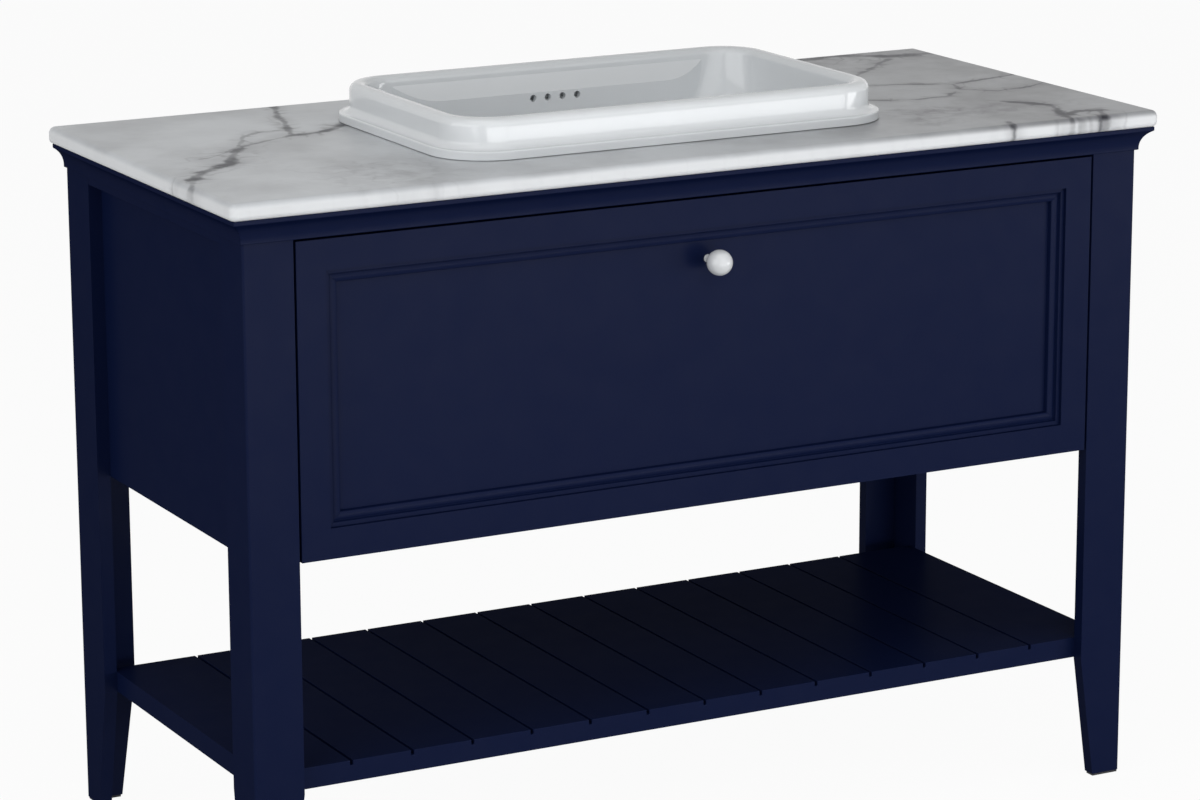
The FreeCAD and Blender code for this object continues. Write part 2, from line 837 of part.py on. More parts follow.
def basin_ledge():
    """Sloping ledge along the back of the bowl, with its ends drawn back to the wall."""
    half = "ledge_width / 2"
    root = "ledge_back + ledge_reach / 2"
    heel = "basin_y + cutout_depth / 2 - cutout_clearance - bowl_wall / 4"
    toe = "ledge_front + bowl_wall / 4"
    slope_top = "rim_top - ledge_drop"
    profile = prism(
        "ledge_profile",
        "YZ",
        f"-({half})",
        half,
        [
            ("ledge_front", "bowl_middle"),
            ("ledge_front", "ledge_edge"),
            ("ledge_back", slope_top),
            (root, slope_top),
            (root, "overflow_z"),
            (heel, "flange_bottom"),
            (toe, "bowl_middle"),
        ],
    )
    sweep = "(ledge_end * ledge_end + ledge_reach * ledge_reach) / (2 * ledge_reach)"
    plan = prism(
        "ledge_plan",
        "XY",
        "bowl_middle",
        "rim_top",
        [
            (f"-({half}) + ledge_end", "ledge_front", sweep),
            (f"{half} - ledge_end", "ledge_front"),
            (half, "ledge_back", sweep),
            (half, root),
            (f"-({half})", root),
            (f"-({half})", "ledge_back"),
        ],
    )
    ledge = doc.addObject("Part::Common", "basin_ledge")
    ledge.Base = profile
    ledge.Tool = plan
    return ledge


def build_basin():
    """Basin with its ledge, overflow holes and waste hole, and the sealant under its flange."""
    shell = join("basin_with_ledge", basin_body(), basin_ledge())
    tools = []
    row = f"({OVERFLOW_HOLES} - 1) / 2"
    for index in range(OVERFLOW_HOLES):
        start = (f"({index} - {row}) * overflow_pitch", "ledge_front - chamber_margin", "overflow_z")
        length = "overflow_depth + 2 * chamber_margin"
        tools.append(rod(f"overflow_hole_{index}", "y", start, "overflow_diameter / 2", length))
    half = f"({row} * overflow_pitch + chamber_margin)"
    chamber_y = ("ledge_front + overflow_depth", "ledge_front + overflow_depth + chamber_depth")
    chamber_z = ("overflow_z - overflow_diameter / 2 + seal_thickness", "overflow_z + chamber_margin")
    tools.append(block("overflow_chamber", (f"-{half}", half), chamber_y, chamber_z))
    for name, low, width in (
        ("waste_hole", "bowl_bottom", "waste_hole_diameter"),
        ("waste_recess", "recess_floor", "waste_recess_diameter"),
    ):
        tools.append(rod(name, "z", ("0", "basin_y", low), f"{width} / 2", "bowl_floor_drop / 2"))
    keep("basin", cut("basin", shell, *tools))
    rings = []
    for index, inset in enumerate(("seal_inset", "(seal_inset + seal_width)")):
        corners = rounded_rectangle(
            f"basin_width - 2 * {inset}", f"basin_depth - 2 * {inset}", f"basin_corner - {inset}", "basin_y"
        )
        rings.append(prism(f"seal_ring_{index}", "XY", "slab_top", "flange_bottom", corners))
    keep("basin_seal", cut("basin_seal", *rings))


def build_waste():
    """Push-down waste: flanged tail, seals, back nut and the plug that slides in the tail's spider."""
    bore = "tail_bore / 2"
    tail = turned(
        "waste_tail",
        "z",
        ("0", "basin_y"),
        [
            (bore, "tail_end"),
            ("tail_radius", "tail_end"),
            ("tail_radius", "outlet_end"),
            ("relief_radius", "outlet_end"),
            ("relief_radius", "outlet_end + tail_relief_width"),
            ("tail_radius", "outlet_end + tail_relief_width"),
            ("tail_radius", "waste_flange_bottom"),
            ("waste_flange_diameter / 2", "waste_flange_bottom"),
            ("waste_flange_diameter / 2", "waste_flange_top"),
            (f"{bore} + waste_flange_thickness", "waste_flange_top"),
            (bore, "waste_flange_bottom", "-waste_mouth_round"),
        ],
    )
    arms = []
    for index in range(SPIDER_ARMS):
        arm = doc.addObject("Part::Box", f"spider_arm_{index}")
        arm.setExpression("Length", formula("(tail_bore / 2 + tail_radius) / 2"))
        arm.setExpression("Width", formula("spider_arm"))
        arm.setExpression("Height", formula("spider_thickness"))
        turn = 360 / SPIDER_ARMS * index
        arm.Placement = FreeCAD.Placement(Vector(), Rotation(Vector(0, 0, 1), turn))
        swing = math.radians(turn)
        x = f"spider_arm / 2 * {math.sin(swing)}"
        y = f"basin_y - spider_arm / 2 * {math.cos(swing)}"
        bind_place(arm, x, y, "spider_top - spider_thickness")
        arms.append(arm)
    hub_base = ("0", "basin_y", "spider_top - spider_thickness")
    hub = rod("spider_hub", "z", hub_base, "hub_diameter / 2", "spider_thickness")
    guide = rod("spider_guide", "z", hub_base, "stem_diameter / 2 + thread_play", "spider_thickness")
    keep("waste_body", cut("waste_body", join("waste_blank", tail, hub, *arms), guide))
    thread = "tail_radius + thread_play"
    for name, width, low, high in (
        ("waste_seal", "waste_flange_diameter", "recess_floor", "waste_flange_bottom"),
        ("waste_gasket", "gasket_diameter", "gasket_bottom", "bowl_bottom"),
    ):
        corners = [(thread, low), (f"{width} / 2", low), (f"{width} / 2", high), (thread, high)]
        keep(name, turned(name, "z", ("0", "basin_y"), corners))
    hexagon = doc.addObject("Part::Prism", "waste_nut_blank")
    hexagon.Polygon = 6
    hexagon.setExpression("Circumradius", formula("nut_diameter / 2"))
    hexagon.setExpression("Height", formula("nut_thickness"))
    bind_place(hexagon, "0", "basin_y", "nut_bottom")
    tapped = rod("waste_nut_thread", "z", ("0", "basin_y", "nut_bottom"), thread, "nut_thickness")
    keep("waste_nut", cut("waste_nut", hexagon, tapped))
    stem, collar = "stem_diameter / 2", "stem_collar / 2"
    stem_end = "plug_bottom - stem_length"
    rim, crown = "plug_diameter / 2", "plug_crown"
    dome = f"({rim} * {rim} + {crown} * {crown}) / (2 * {crown})"
    plug = turned(
        "waste_plug",
        "z",
        ("0", "basin_y"),
        [
            ("0", stem_end),
            (collar, stem_end),
            (collar, f"{stem_end} + stem_collar_height"),
            (stem, f"{stem_end} + stem_collar_height"),
            (stem, "plug_bottom"),
            (rim, "plug_bottom"),
            (rim, "plug_bottom + plug_edge"),
            ("0", "plug_bottom + plug_edge + plug_crown", dome),
        ],
    )
    keep("waste_plug", plug)


# Drawer front: a frame of stiles and rails with a stepped moulding around a sunk panel.

def moulding_section(frame_edge, inward, upright):
    """Section of the stepped moulding; inward is the sign of the way from the frame's edge to the panel."""
    bead_start = "moulding_shelf + moulding_step"
    bead_end = "moulding_width - moulding_step"
    bead = f"{inward if upright else -inward} * moulding_bead_round"
    depth_points = [
        ("0", "panel_recess", None),
        ("0", "moulding_top_depth", None),
        ("moulding_shelf", "moulding_top_depth", None),
        (bead_start, "moulding_bead_depth", None),
        (bead_end, "moulding_bead_depth", bead),
        ("moulding_width", "panel_recess", None),
    ]
    corners = []
    for distance, depth, arc in depth_points:
        place = (f"{frame_edge} + ({inward}) * ({distance})", f"front + {depth}")
        corner = place if upright else place[::-1]
        corners.append(corner if arc is None else (*corner, arc))
    return corners


def build_mouldings():
    """Four lengths of stepped moulding, mitred at the corners."""
    depth = ("front", "panel_face")
    width = "moulding_width"
    for name, edge, inward in (("moulding_top", "panel_top", -1), ("moulding_bottom", "panel_bottom", 1)):
        section = moulding_section(edge, inward, upright=False)
        blank = prism(f"{name}_blank", "YZ", "-panel_half", "panel_half", section)
        mitres = []
        inner = f"{edge} + ({inward}) * {width}"
        for index, sign in enumerate((-1, 1)):
            end = f"({sign}) * panel_half"
            corners = [(end, edge), (f"({sign}) * (panel_half - {width})", inner), (end, inner)]
            mitres.append(prism(f"{name}_mitre_{index}", "XZ", *depth, corners))
        keep(name, cut(name, blank, *mitres))
    section = moulding_section("-panel_half", 1, upright=True)
    blank = prism("moulding_left_blank", "XY", "panel_bottom", "panel_top", section)
    mitres = []
    inner = f"-panel_half + {width}"
    for index, (end, sign) in enumerate((("panel_bottom", 1), ("panel_top", -1))):
        corners = [("-panel_half", end), (inner, f"{end} + ({sign}) * {width}"), (inner, end)]
        mitres.append(prism(f"moulding_left_mitre_{index}", "XZ", *depth, corners))
    keep_pair("moulding", cut("moulding_left", blank, *mitres))


def screw_places():
    """Height of each screw through the drawer's inner front into a stile, evenly spread."""
    step = f"(box_top - box_bottom) / {SCREWS_PER_STILE}"
    return [f"box_bottom + ({index} + 1 / 2) * {step}" for index in range(SCREWS_PER_STILE)]


def build_drawer_front():
    """Stiles, rails and panel of the drawer front."""
    thickness = ("front", "front_inner")
    stile_width, stile_height = ("-front_half", "-panel_half"), ("front_bottom", "front_top")
    stile = block("front_stile_blank", stile_width, thickness, stile_height)
    holes = []
    for index, height in enumerate(screw_places()):
        start = ("-screw_x", "front_inner - screw_bite", height)
        holes.append(rod(f"stile_hole_{index}", "y", start, "bolt_diameter / 2 + bolt_play", "screw_bite"))
    keep_pair("front_stile", cut("front_stile_left", stile, *holes))
    across = ("-panel_half", "panel_half")
    for name, height in (
        ("front_rail_top", ("panel_top", "front_top")),
        ("front_rail_bottom", ("front_bottom", "panel_bottom")),
    ):
        keep(name, block(name, across, thickness, height))
    panel = block("front_panel_blank", across, ("panel_face", "front_inner"), ("panel_bottom", "panel_top"))
    start = ("0", "panel_face", "knob_height")
    hole = rod("panel_knob_hole", "y", start, "bolt_diameter / 2 + bolt_play", "front_board")
    keep("front_panel", cut("front_panel", panel, hole))
    build_mouldings()


def bolt(name, place, tip, seat):
    """Round-headed bolt along Y from its tip to the seat of its head."""
    x, z = place
    shank = rod(f"{name}_shank", "y", (x, tip, z), "bolt_diameter / 2", f"{seat} - ({tip})")
    head = rod(f"{name}_head", "y", (x, seat, z), "bolt_head_diameter / 2", "bolt_head_height")
    return join(name, shank, head)


def build_knob():
    """Turned ball knob with its bolt from inside the drawer."""
    neck, base = "knob_neck_diameter / 2", "knob_base_diameter / 2"
    radius = "knob_diameter / 2"
    neck_end = f"knob_centre + sqrt({radius} * {radius} - {neck} * {neck})"
    hole = "bolt_diameter / 2 + bolt_play"
    knob = turned(
        "knob",
        "y",
        ("0", "knob_height"),
        [
            ("0", "panel_face - bolt_depth"),
            (hole, "panel_face - bolt_depth"),
            (hole, "panel_face"),
            (base, "panel_face"),
            (neck, "panel_face - knob_base_height", f"-2 * ({base} - {neck} + knob_base_height)"),
            (neck, neck_end),
            (radius, "knob_centre", f"-({radius})"),
            ("0", f"knob_centre - {radius}", f"-({radius})"),
        ],
    )
    keep("knob", knob)
    tip = "panel_face - bolt_depth + bolt_play"
    keep("knob_bolt", bolt("knob_bolt", ("0", "knob_height"), tip, "front_inner"))


def build_drawer_box():
    """Box behind the drawer front, open at the back around the trap."""
    height = ("box_bottom", "box_top")
    groove_height = ("bottom_low - tongue_play", "bottom_top + tongue_play")
    tongue = "bottom_tongue + tongue_play"
    width, thickness = ("-box_half", "box_half"), ("front_inner", "box_front_in")
    front = block("drawer_subfront_blank", width, thickness, height)
    slot = block(
        "drawer_subfront_slot",
        (f"-box_in - ({tongue})", f"box_in + {tongue}"),
        (f"box_front_in - ({tongue})", "box_front_in"),
        groove_height,
    )
    holes, screws = [], []
    hole_radius = "bolt_diameter / 2 + bolt_play"
    for side, sign in (("left", -1), ("right", 1)):
        for index, z in enumerate(screw_places()):
            x = f"({sign}) * screw_x"
            name = f"{side}_{index}"
            holes.append(rod(f"subfront_hole_{name}", "y", (x, "front_inner", z), hole_radius, "box_board"))
            tip = "front_inner - screw_bite + bolt_play"
            screws.append(bolt(f"front_screw_{name}", (x, z), tip, "box_front_in"))
    keep("drawer_subfront", cut("drawer_subfront", front, slot, *holes))
    keep("front_screws", group("front_screws", screws))
    depth = ("box_front_in", "box_back")
    panel = block("drawer_side_blank", ("-box_half", "-box_in"), depth, height)
    slot = block("drawer_side_slot", (f"-box_in - ({tongue})", "-box_in"), depth, groove_height)
    pockets = []
    pocket_radius, pocket_depth = "bolt_head_diameter / 2 + bolt_play", "bolt_head_height + bolt_play"
    for index, z in enumerate(screw_places()):
        start = ("-screw_x", "box_front_in", z)
        pockets.append(rod(f"side_pocket_{index}", "y", start, pocket_radius, pocket_depth))
    keep_pair("drawer_side", cut("drawer_side_left", panel, slot, *pockets))
    bottom = prism(
        "drawer_bottom",
        "XY",
        "bottom_low",
        "bottom_top",
        [
            ("-box_in - bottom_tongue", "box_front_in - bottom_tongue"),
            ("box_in + bottom_tongue", "box_front_in - bottom_tongue"),
            ("box_in + bottom_tongue", "box_back"),
            ("recess_half", "box_back"),
            ("recess_half", "recess_front"),
            ("-recess_half", "recess_front"),
            ("-recess_half", "box_back"),
            ("-box_in - bottom_tongue", "box_back"),
        ],
    )
    keep("drawer_bottom", bottom)
    standing = ("bottom_top", "box_top")
    wall = ("-recess_half - box_board", "-recess_half")
    back = block("drawer_back_left", ("-box_in", wall[0]), ("box_back - box_board", "box_back"), standing)
    keep_pair("drawer_back", back)
    keep_pair("trap_recess", block("trap_recess_left", wall, ("recess_front", "box_back"), standing))
    across = (wall[0], "recess_half + box_board")
    front_wall = ("recess_front - box_board", "recess_front")
    keep("trap_recess_front", block("trap_recess_front", across, front_wall, standing))


# Drawer runners: three nested steel channels a side, with two rows of balls between each two.

def runner_x(depth):
    """X of a place at a depth from the packer's face, on the left-hand side."""
    return f"-runner_half + {depth}"


def channel(name, length, back, reach, half, web, wall, lip=None):
    """Steel channel that opens towards the drawer, with lips turned in where it has them."""
    low = f"-({half})"
    flank = f"{low} + {wall}"
    corners = [(back, low), (reach, low)]
    inner = reach
    if lip is not None:
        inner = f"{reach} - {wall}"
        corners += [(reach, f"{flank} + {lip}"), (inner, f"{flank} + {lip}")]
    corners += [(inner, flank), (f"{back} + {web}", flank)]
    upper = [(depth, f"-({height})") for depth, height in reversed(corners)]
    placed = [(runner_x(depth), f"runner_z + {height}") for depth, height in corners + upper]
    return prism(name, "XZ", *length, placed)


def ball_cage(stem, back, reach, row_z, radius):
    """Caged balls of one runner: a thin channel with the balls loose in its holes."""
    length = ("cage_back - cage_length", "cage_back")
    half = f"{row_z} + cage_strip / 2"
    blank = channel(f"{stem}_blank", length, back, reach, half, "cage_web", "cage_strip")
    holes, balls = [], []
    for index in range(BALLS_PER_ROW):
        y = f"cage_back - cage_length * ({index} + 1 / 2) / {BALLS_PER_ROW}"
        start = (runner_x("ball_offset"), y, f"runner_z - ({half})")
        holes.append(rod(f"{stem}_hole_{index}", "z", start, f"{radius} + cage_play", f"2 * ({half})"))
        for row, sign in (("low", -1), ("high", 1)):
            centre = (runner_x("ball_offset"), y, f"runner_z + ({sign}) * {row_z}")
            balls.append(ball(f"{stem}_ball_{row}_{index}", centre, radius))
    return group(f"{stem}_left", [cut(f"{stem}_strip", blank, *holes), *balls])


def build_runners():
    """Packers, channels and ball cages on both sides of the drawer."""
    packer = block(
        "runner_packer_left",
        ("-panel_in", "-runner_half"),
        ("runner_front", "runner_back + packer_margin"),
        ("runner_z - packer_height / 2", "runner_z + packer_height / 2"),
    )
    keep_pair("runner_packer", packer)
    whole = ("runner_front", "runner_back")
    steel = "runner_steel"
    outer = channel("runner_outer_left", whole, "0", "outer_reach", "outer_half", steel, steel, "outer_lip")
    keep_pair("runner_outer", outer)
    short = ("runner_front + middle_setback", "runner_back - middle_setback")
    depths = ("middle_back", "middle_reach")
    middle = channel("runner_middle_left", short, *depths, "middle_half", steel, steel, "middle_lip")
    keep_pair("runner_middle", middle)
    corners = [
        ("runner_thickness", "-inner_half"),
        ("runner_thickness", "inner_half"),
        ("inner_reach", "inner_half"),
        ("inner_reach", "inner_half - runner_steel"),
        ("runner_thickness - runner_steel", "inner_half - runner_steel"),
        ("runner_thickness - runner_steel", "-inner_half + runner_steel"),
        ("inner_reach", "-inner_half + runner_steel"),
        ("inner_reach", "-inner_half"),
    ]
    placed = [(runner_x(depth), f"runner_z + ({height})") for depth, height in corners]
    keep_pair("runner_inner", prism("runner_inner_left", "XZ", *whole, placed))
    for pair in ("outer", "inner"):
        depths = (f"{pair}_cage_back", f"{pair}_cage_reach")
        cage = ball_cage(f"ball_cage_{pair}", *depths, f"{pair}_ball_z", f"{pair}_ball")
        keep_pair(f"ball_cage_{pair}", cage)


def write_parts():
    """Check every piece and write it out under its node's name."""
    doc.recompute()
    failed = [item.Name for item in doc.Objects if {"Invalid", "Error"} & set(item.State)]
    if failed:
        raise RuntimeError(f"failed objects: {failed}")
    for name, piece in nodes.items():
        if piece.Shape.isNull() or not piece.Shape.isValid() or not piece.Shape.Solids:
            raise RuntimeError(f"{name} has no valid solid")
    os.makedirs("parts", exist_ok=True)
    for name, piece in nodes.items():
        solids = piece.Shape.Solids
        shape = solids[0] if len(solids) == 1 else Part.makeCompound(solids)
        shape.exportStep(f"parts/{name}.step")
        print(f"{name}: {len(solids)} solids, {shape.Volume:.0f} mm3")


def main():
    """Build the unit piece by piece and write its parts."""
    fill_sheet()
    build_legs()
    build_carcass()
    build_shelf()
    build_cornice()
    build_slab()
    build_basin()
    build_waste()
    build_drawer_front()
    build_knob()
    build_drawer_box()
    build_runners()
    write_parts()


main()
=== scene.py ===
"""Looks of a washstand vanity unit: navy lacquer, veined stone, a glazed basin and a birch drawer."""

import logging
import math
from dataclasses import dataclass, field
from enum import Enum
from typing import Any

import bpy
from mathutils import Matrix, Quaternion, Vector

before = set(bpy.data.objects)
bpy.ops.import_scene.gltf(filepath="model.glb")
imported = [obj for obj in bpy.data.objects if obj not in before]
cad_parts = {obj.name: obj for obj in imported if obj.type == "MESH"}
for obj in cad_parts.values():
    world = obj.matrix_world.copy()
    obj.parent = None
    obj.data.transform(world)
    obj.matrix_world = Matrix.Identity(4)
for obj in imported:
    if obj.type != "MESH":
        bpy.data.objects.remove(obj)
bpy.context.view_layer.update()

LOG = logging.getLogger("vanity")
SIDES = ("left", "right")
WELD_GAP = 0.00001
SHARP_ANGLE = math.radians(35)
NOISE_MEAN = 0.5

Colour = tuple[float, float, float, float]
Point = tuple[float, float]
Span = tuple[float, float]
Point3 = tuple[float, float, float]


class Axis(Enum):
    """Way that a board's grain or a brushed finish runs."""

    X = 0
    Y = 1
    Z = 2


class Signal:
    """Output of a shader node that takes part in arithmetic."""

    def __init__(self, graph: "Graph", socket: bpy.types.NodeSocket) -> None:
        """Keep the socket and the graph it belongs to."""
        self.graph = graph
        self.socket = socket

    @property
    def is_vector(self) -> bool:
        """Whether the output holds three numbers."""
        return self.socket.type == "VECTOR"

    @staticmethod
    def holds_vector(part: Any) -> bool:
        """Whether a signal or a constant holds three numbers."""
        return isinstance(part, tuple) or getattr(part, "is_vector", False)

    def join(self, operation: str, first: Any, second: Any) -> "Signal":
        """Add the node of one operation on two values or vectors.

        Args:
            operation: Name of the Math or Vector Math operation.
            first: Signal, number or vector on the left.
            second: Signal, number or vector on the right.

        Returns:
            The signal of the result.
        """
        vectors = [self.holds_vector(part) for part in (first, second)]
        settings = {"operation": operation}
        sockets = {0: first, 1: second}
        if not any(vectors):
            return self.graph.out("ShaderNodeMath", "Value", settings, sockets)
        if operation == "MULTIPLY" and not all(vectors):
            vector, scale = (first, second) if vectors[0] else (second, first)
            settings = {"operation": "SCALE"}
            sockets = {0: vector, "Scale": scale}
        return self.graph.out("ShaderNodeVectorMath", "Vector", settings, sockets)

    def __add__(self, other: Any) -> "Signal":
        """Sum."""
        return self.join("ADD", self, other)

    def __radd__(self, other: Any) -> "Signal":
        """Sum with a number on the left."""
        return self.join("ADD", other, self)

    def __sub__(self, other: Any) -> "Signal":
        """Difference."""
        return self.join("SUBTRACT", self, other)

    def __rsub__(self, other: Any) -> "Signal":
        """Difference from a number on the left."""
        return self.join("SUBTRACT", other, self)

    def __mul__(self, other: Any) -> "Signal":
        """Product."""
        return self.join("MULTIPLY", self, other)

    def __rmul__(self, other: Any) -> "Signal":
        """Product with a number on the left."""
        return self.join("MULTIPLY", other, self)

    def __abs__(self) -> "Signal":
        """Size without the sign."""
        return self.graph.out("ShaderNodeMath", "Value", {"operation": "ABSOLUTE"}, {0: self})

    def least(self, other: Any) -> "Signal":
        """Smaller of two values."""
        return self.join("MINIMUM", self, other)

    def most(self, other: Any) -> "Signal":
        """Larger of two values."""
        return self.join("MAXIMUM", self, other)

    def length(self) -> "Signal":
        """Length of a vector."""
        return self.graph.out("ShaderNodeVectorMath", "Value", {"operation": "LENGTH"}, {0: self})

    def dot(self, other: Point3) -> "Signal":
        """Dot product of two vectors."""
        settings = {"operation": "DOT_PRODUCT"}
        return self.graph.out("ShaderNodeVectorMath", "Value", settings, {0: self, 1: other})

    def held(self) -> "Signal":
        """Value held between 0 and 1."""
        return self.graph.out("ShaderNodeClamp", "Result", {}, {"Value": self})

    def rise(self, low: Any, high: Any) -> "Signal":
        """Smooth step from 0 at one value to 1 at another.

        Args:
            low: Value, or signal, where the step starts.
            high: Value, or signal, where the step ends.

        Returns:
            The signal of the step.
        """
        return self.graph.out(
            "ShaderNodeMapRange",
            "Result",
            {"interpolation_type": "SMOOTHSTEP"},
            {"Value": self, "From Min": low, "From Max": high},
        )


class Graph:
    """Node tree of a material or of the world, with one method for every kind of node."""

    def __init__(self, tree: bpy.types.NodeTree) -> None:
        """Start from an empty tree."""
        self.tree = tree
        tree.nodes.clear()

    def node(
        self,
        kind: str,
        settings: dict[str, Any] | None = None,
        sockets: dict[str | int, Any] | None = None,
    ) -> bpy.types.Node:
        """Add a node.

        Args:
            kind: Blender's name for the type of node.
            settings: The node's own settings, which are set first.
            sockets: Values or signals of its inputs, by name or index.

        Returns:
            The node.
        """
        made = self.tree.nodes.new(kind)
        for name, value in (settings or {}).items():
            setattr(made, name, value)
        for name, value in (sockets or {}).items():
            if isinstance(value, Signal):
                self.tree.links.new(value.socket, made.inputs[name])
            else:
                made.inputs[name].default_value = value
        return made

    def out(
        self,
        kind: str,
        output: str | int,
        settings: dict[str, Any] | None = None,
        sockets: dict[str | int, Any] | None = None,
    ) -> Signal:
        """Add a node and give one of its outputs.

        Args:
            kind: Blender's name for the type of node.
            output: Name or index of the output.
            settings: The node's own settings.
            sockets: Values or signals of its inputs.

        Returns:
            The signal of the output.
        """
        return Signal(self, self.node(kind, settings, sockets).outputs[output])

    def place(self) -> Signal:
        """Place on the piece in metres, at rest."""
        return self.out("ShaderNodeTexCoord", "Object")

    def noise(self, place: Signal, size: float, detail: int, output: str = "Fac") -> Signal:
        """Cloudy noise.

        Args:
            place: Vector that the noise is read at.
            size: Width of one cloud in metres.
            detail: Number of finer layers.
            output: Fac for a value, Color for a vector.

        Returns:
            The signal of the noise, around one half.
        """
        sockets = {"Vector": place, "Scale": 1.0 / size, "Detail": detail}
        return self.out("ShaderNodeTexNoise", output, {}, sockets)

    def mix(self, share: Any, first: Any, second: Any) -> Signal:
        """Blend two colours.

        Args:
            share: Share of the second colour, from 0 to 1.
            first: Colour, or signal of one.
            second: Colour, or signal of one.

        Returns:
            The signal of the blend.
        """
        return self.out("ShaderNodeMix", 2, {"data_type": "RGBA"}, {0: share, 6: first, 7: second})

    def bump(self, height: Signal, strength: float, depth: float) -> Signal:
        """Normal tilted by a height.

        Args:
            height: Signal of the height, from 0 to 1.
            strength: Share of the effect.
            depth: Height of 1 in metres.

        Returns:
            The signal of the normal.
        """
        sockets = {"Strength": strength, "Distance": depth, "Height": height}
        return self.out("ShaderNodeBump", "Normal", {}, sockets)


class Coat:
    """Material under construction."""

    def __init__(self, name: str) -> None:
        """Make the material and its graph.

        Args:
            name: Name of the material.
        """
        self.material = bpy.data.materials.new(name)
        self.material.use_nodes = True
        self.graph = Graph(self.material.node_tree)

    def surface(self, sockets: dict[str, Any]) -> bpy.types.Material:
        """Close the material with a principled surface.

        Args:
            sockets: Values or signals of the surface's inputs.

        Returns:
            The finished material.
        """
        shader = self.graph.out("ShaderNodeBsdfPrincipled", "BSDF", {}, sockets)
        self.graph.node("ShaderNodeOutputMaterial", {}, {"Surface": shader})
        return self.material


@dataclass(frozen=True)
class Lacquer:
    """Sprayed satin lacquer with a faint orange peel."""

    name: str = "navy_lacquer"
    colour: Colour = (0.0042, 0.0084, 0.0362, 1)
    thin: Colour = (0.0050, 0.0093, 0.0380, 1)
    cloud_size: float = 0.22
    peel_size: float = 0.0024
    smear_size: float = 0.03
    gloss: float = 0.0115
    gloss_swing: float = 0.5
    coat_ior: float = 4.0
    coat_roughness: float = 0.34
    roughness: float = 0.55
    roughness_swing: float = 0.12
    peel_strength: float = 0.25
    peel_depth: float = 0.00005

    def material(self) -> bpy.types.Material:
        """Make the lacquer, clouded, smeared and peeled.

        Returns:
            The material of the lacquer.
        """
        coat = Coat(self.name)
        graph = coat.graph
        place = graph.place()
        cloud = graph.noise(place, self.cloud_size, detail=3)
        smear = graph.noise(place, self.smear_size, detail=3) - NOISE_MEAN
        peel = graph.noise(place, self.peel_size, detail=2)
        return coat.surface(
            {
                "Base Color": graph.mix(cloud, self.colour, self.thin),
                "Roughness": self.roughness + smear * self.roughness_swing,
                "Specular IOR Level": 0.0,
                "Coat Weight": self.gloss + smear * (self.gloss * self.gloss_swing),
                "Coat Roughness": self.coat_roughness,
                "Coat IOR": self.coat_ior,
                "Normal": graph.bump(peel, self.peel_strength, self.peel_depth),
            }
        )


@dataclass(frozen=True)
class Vein:
    """Crack of darker mineral in the stone, along points of the slab's top."""

    points: tuple[Point, ...]
    width: float
    depth: float
    spread: float = 0.022

    def distance(self, place: Signal) -> Signal:
        """Distance from a place to the vein.

        Args:
            place: Vector in metres, with no height.

        Returns:
            The signal of the distance in metres.
        """
        nearest = None
        for start, end in zip(self.points, self.points[1:]):
            low = Vector((*start, 0))
            way = Vector((*end, 0)) - low
            offset = place - tuple(low)
            share = (offset.dot(tuple(way)) * (1 / way.length_squared)).held()
            reach = (offset - share * tuple(way)).length()
            nearest = reach if nearest is None else nearest.least(reach)
        return nearest


@dataclass(frozen=True)
class Haze:
    """Soft patch of stained stone."""

    centre: Point
    radius: float
    depth: float


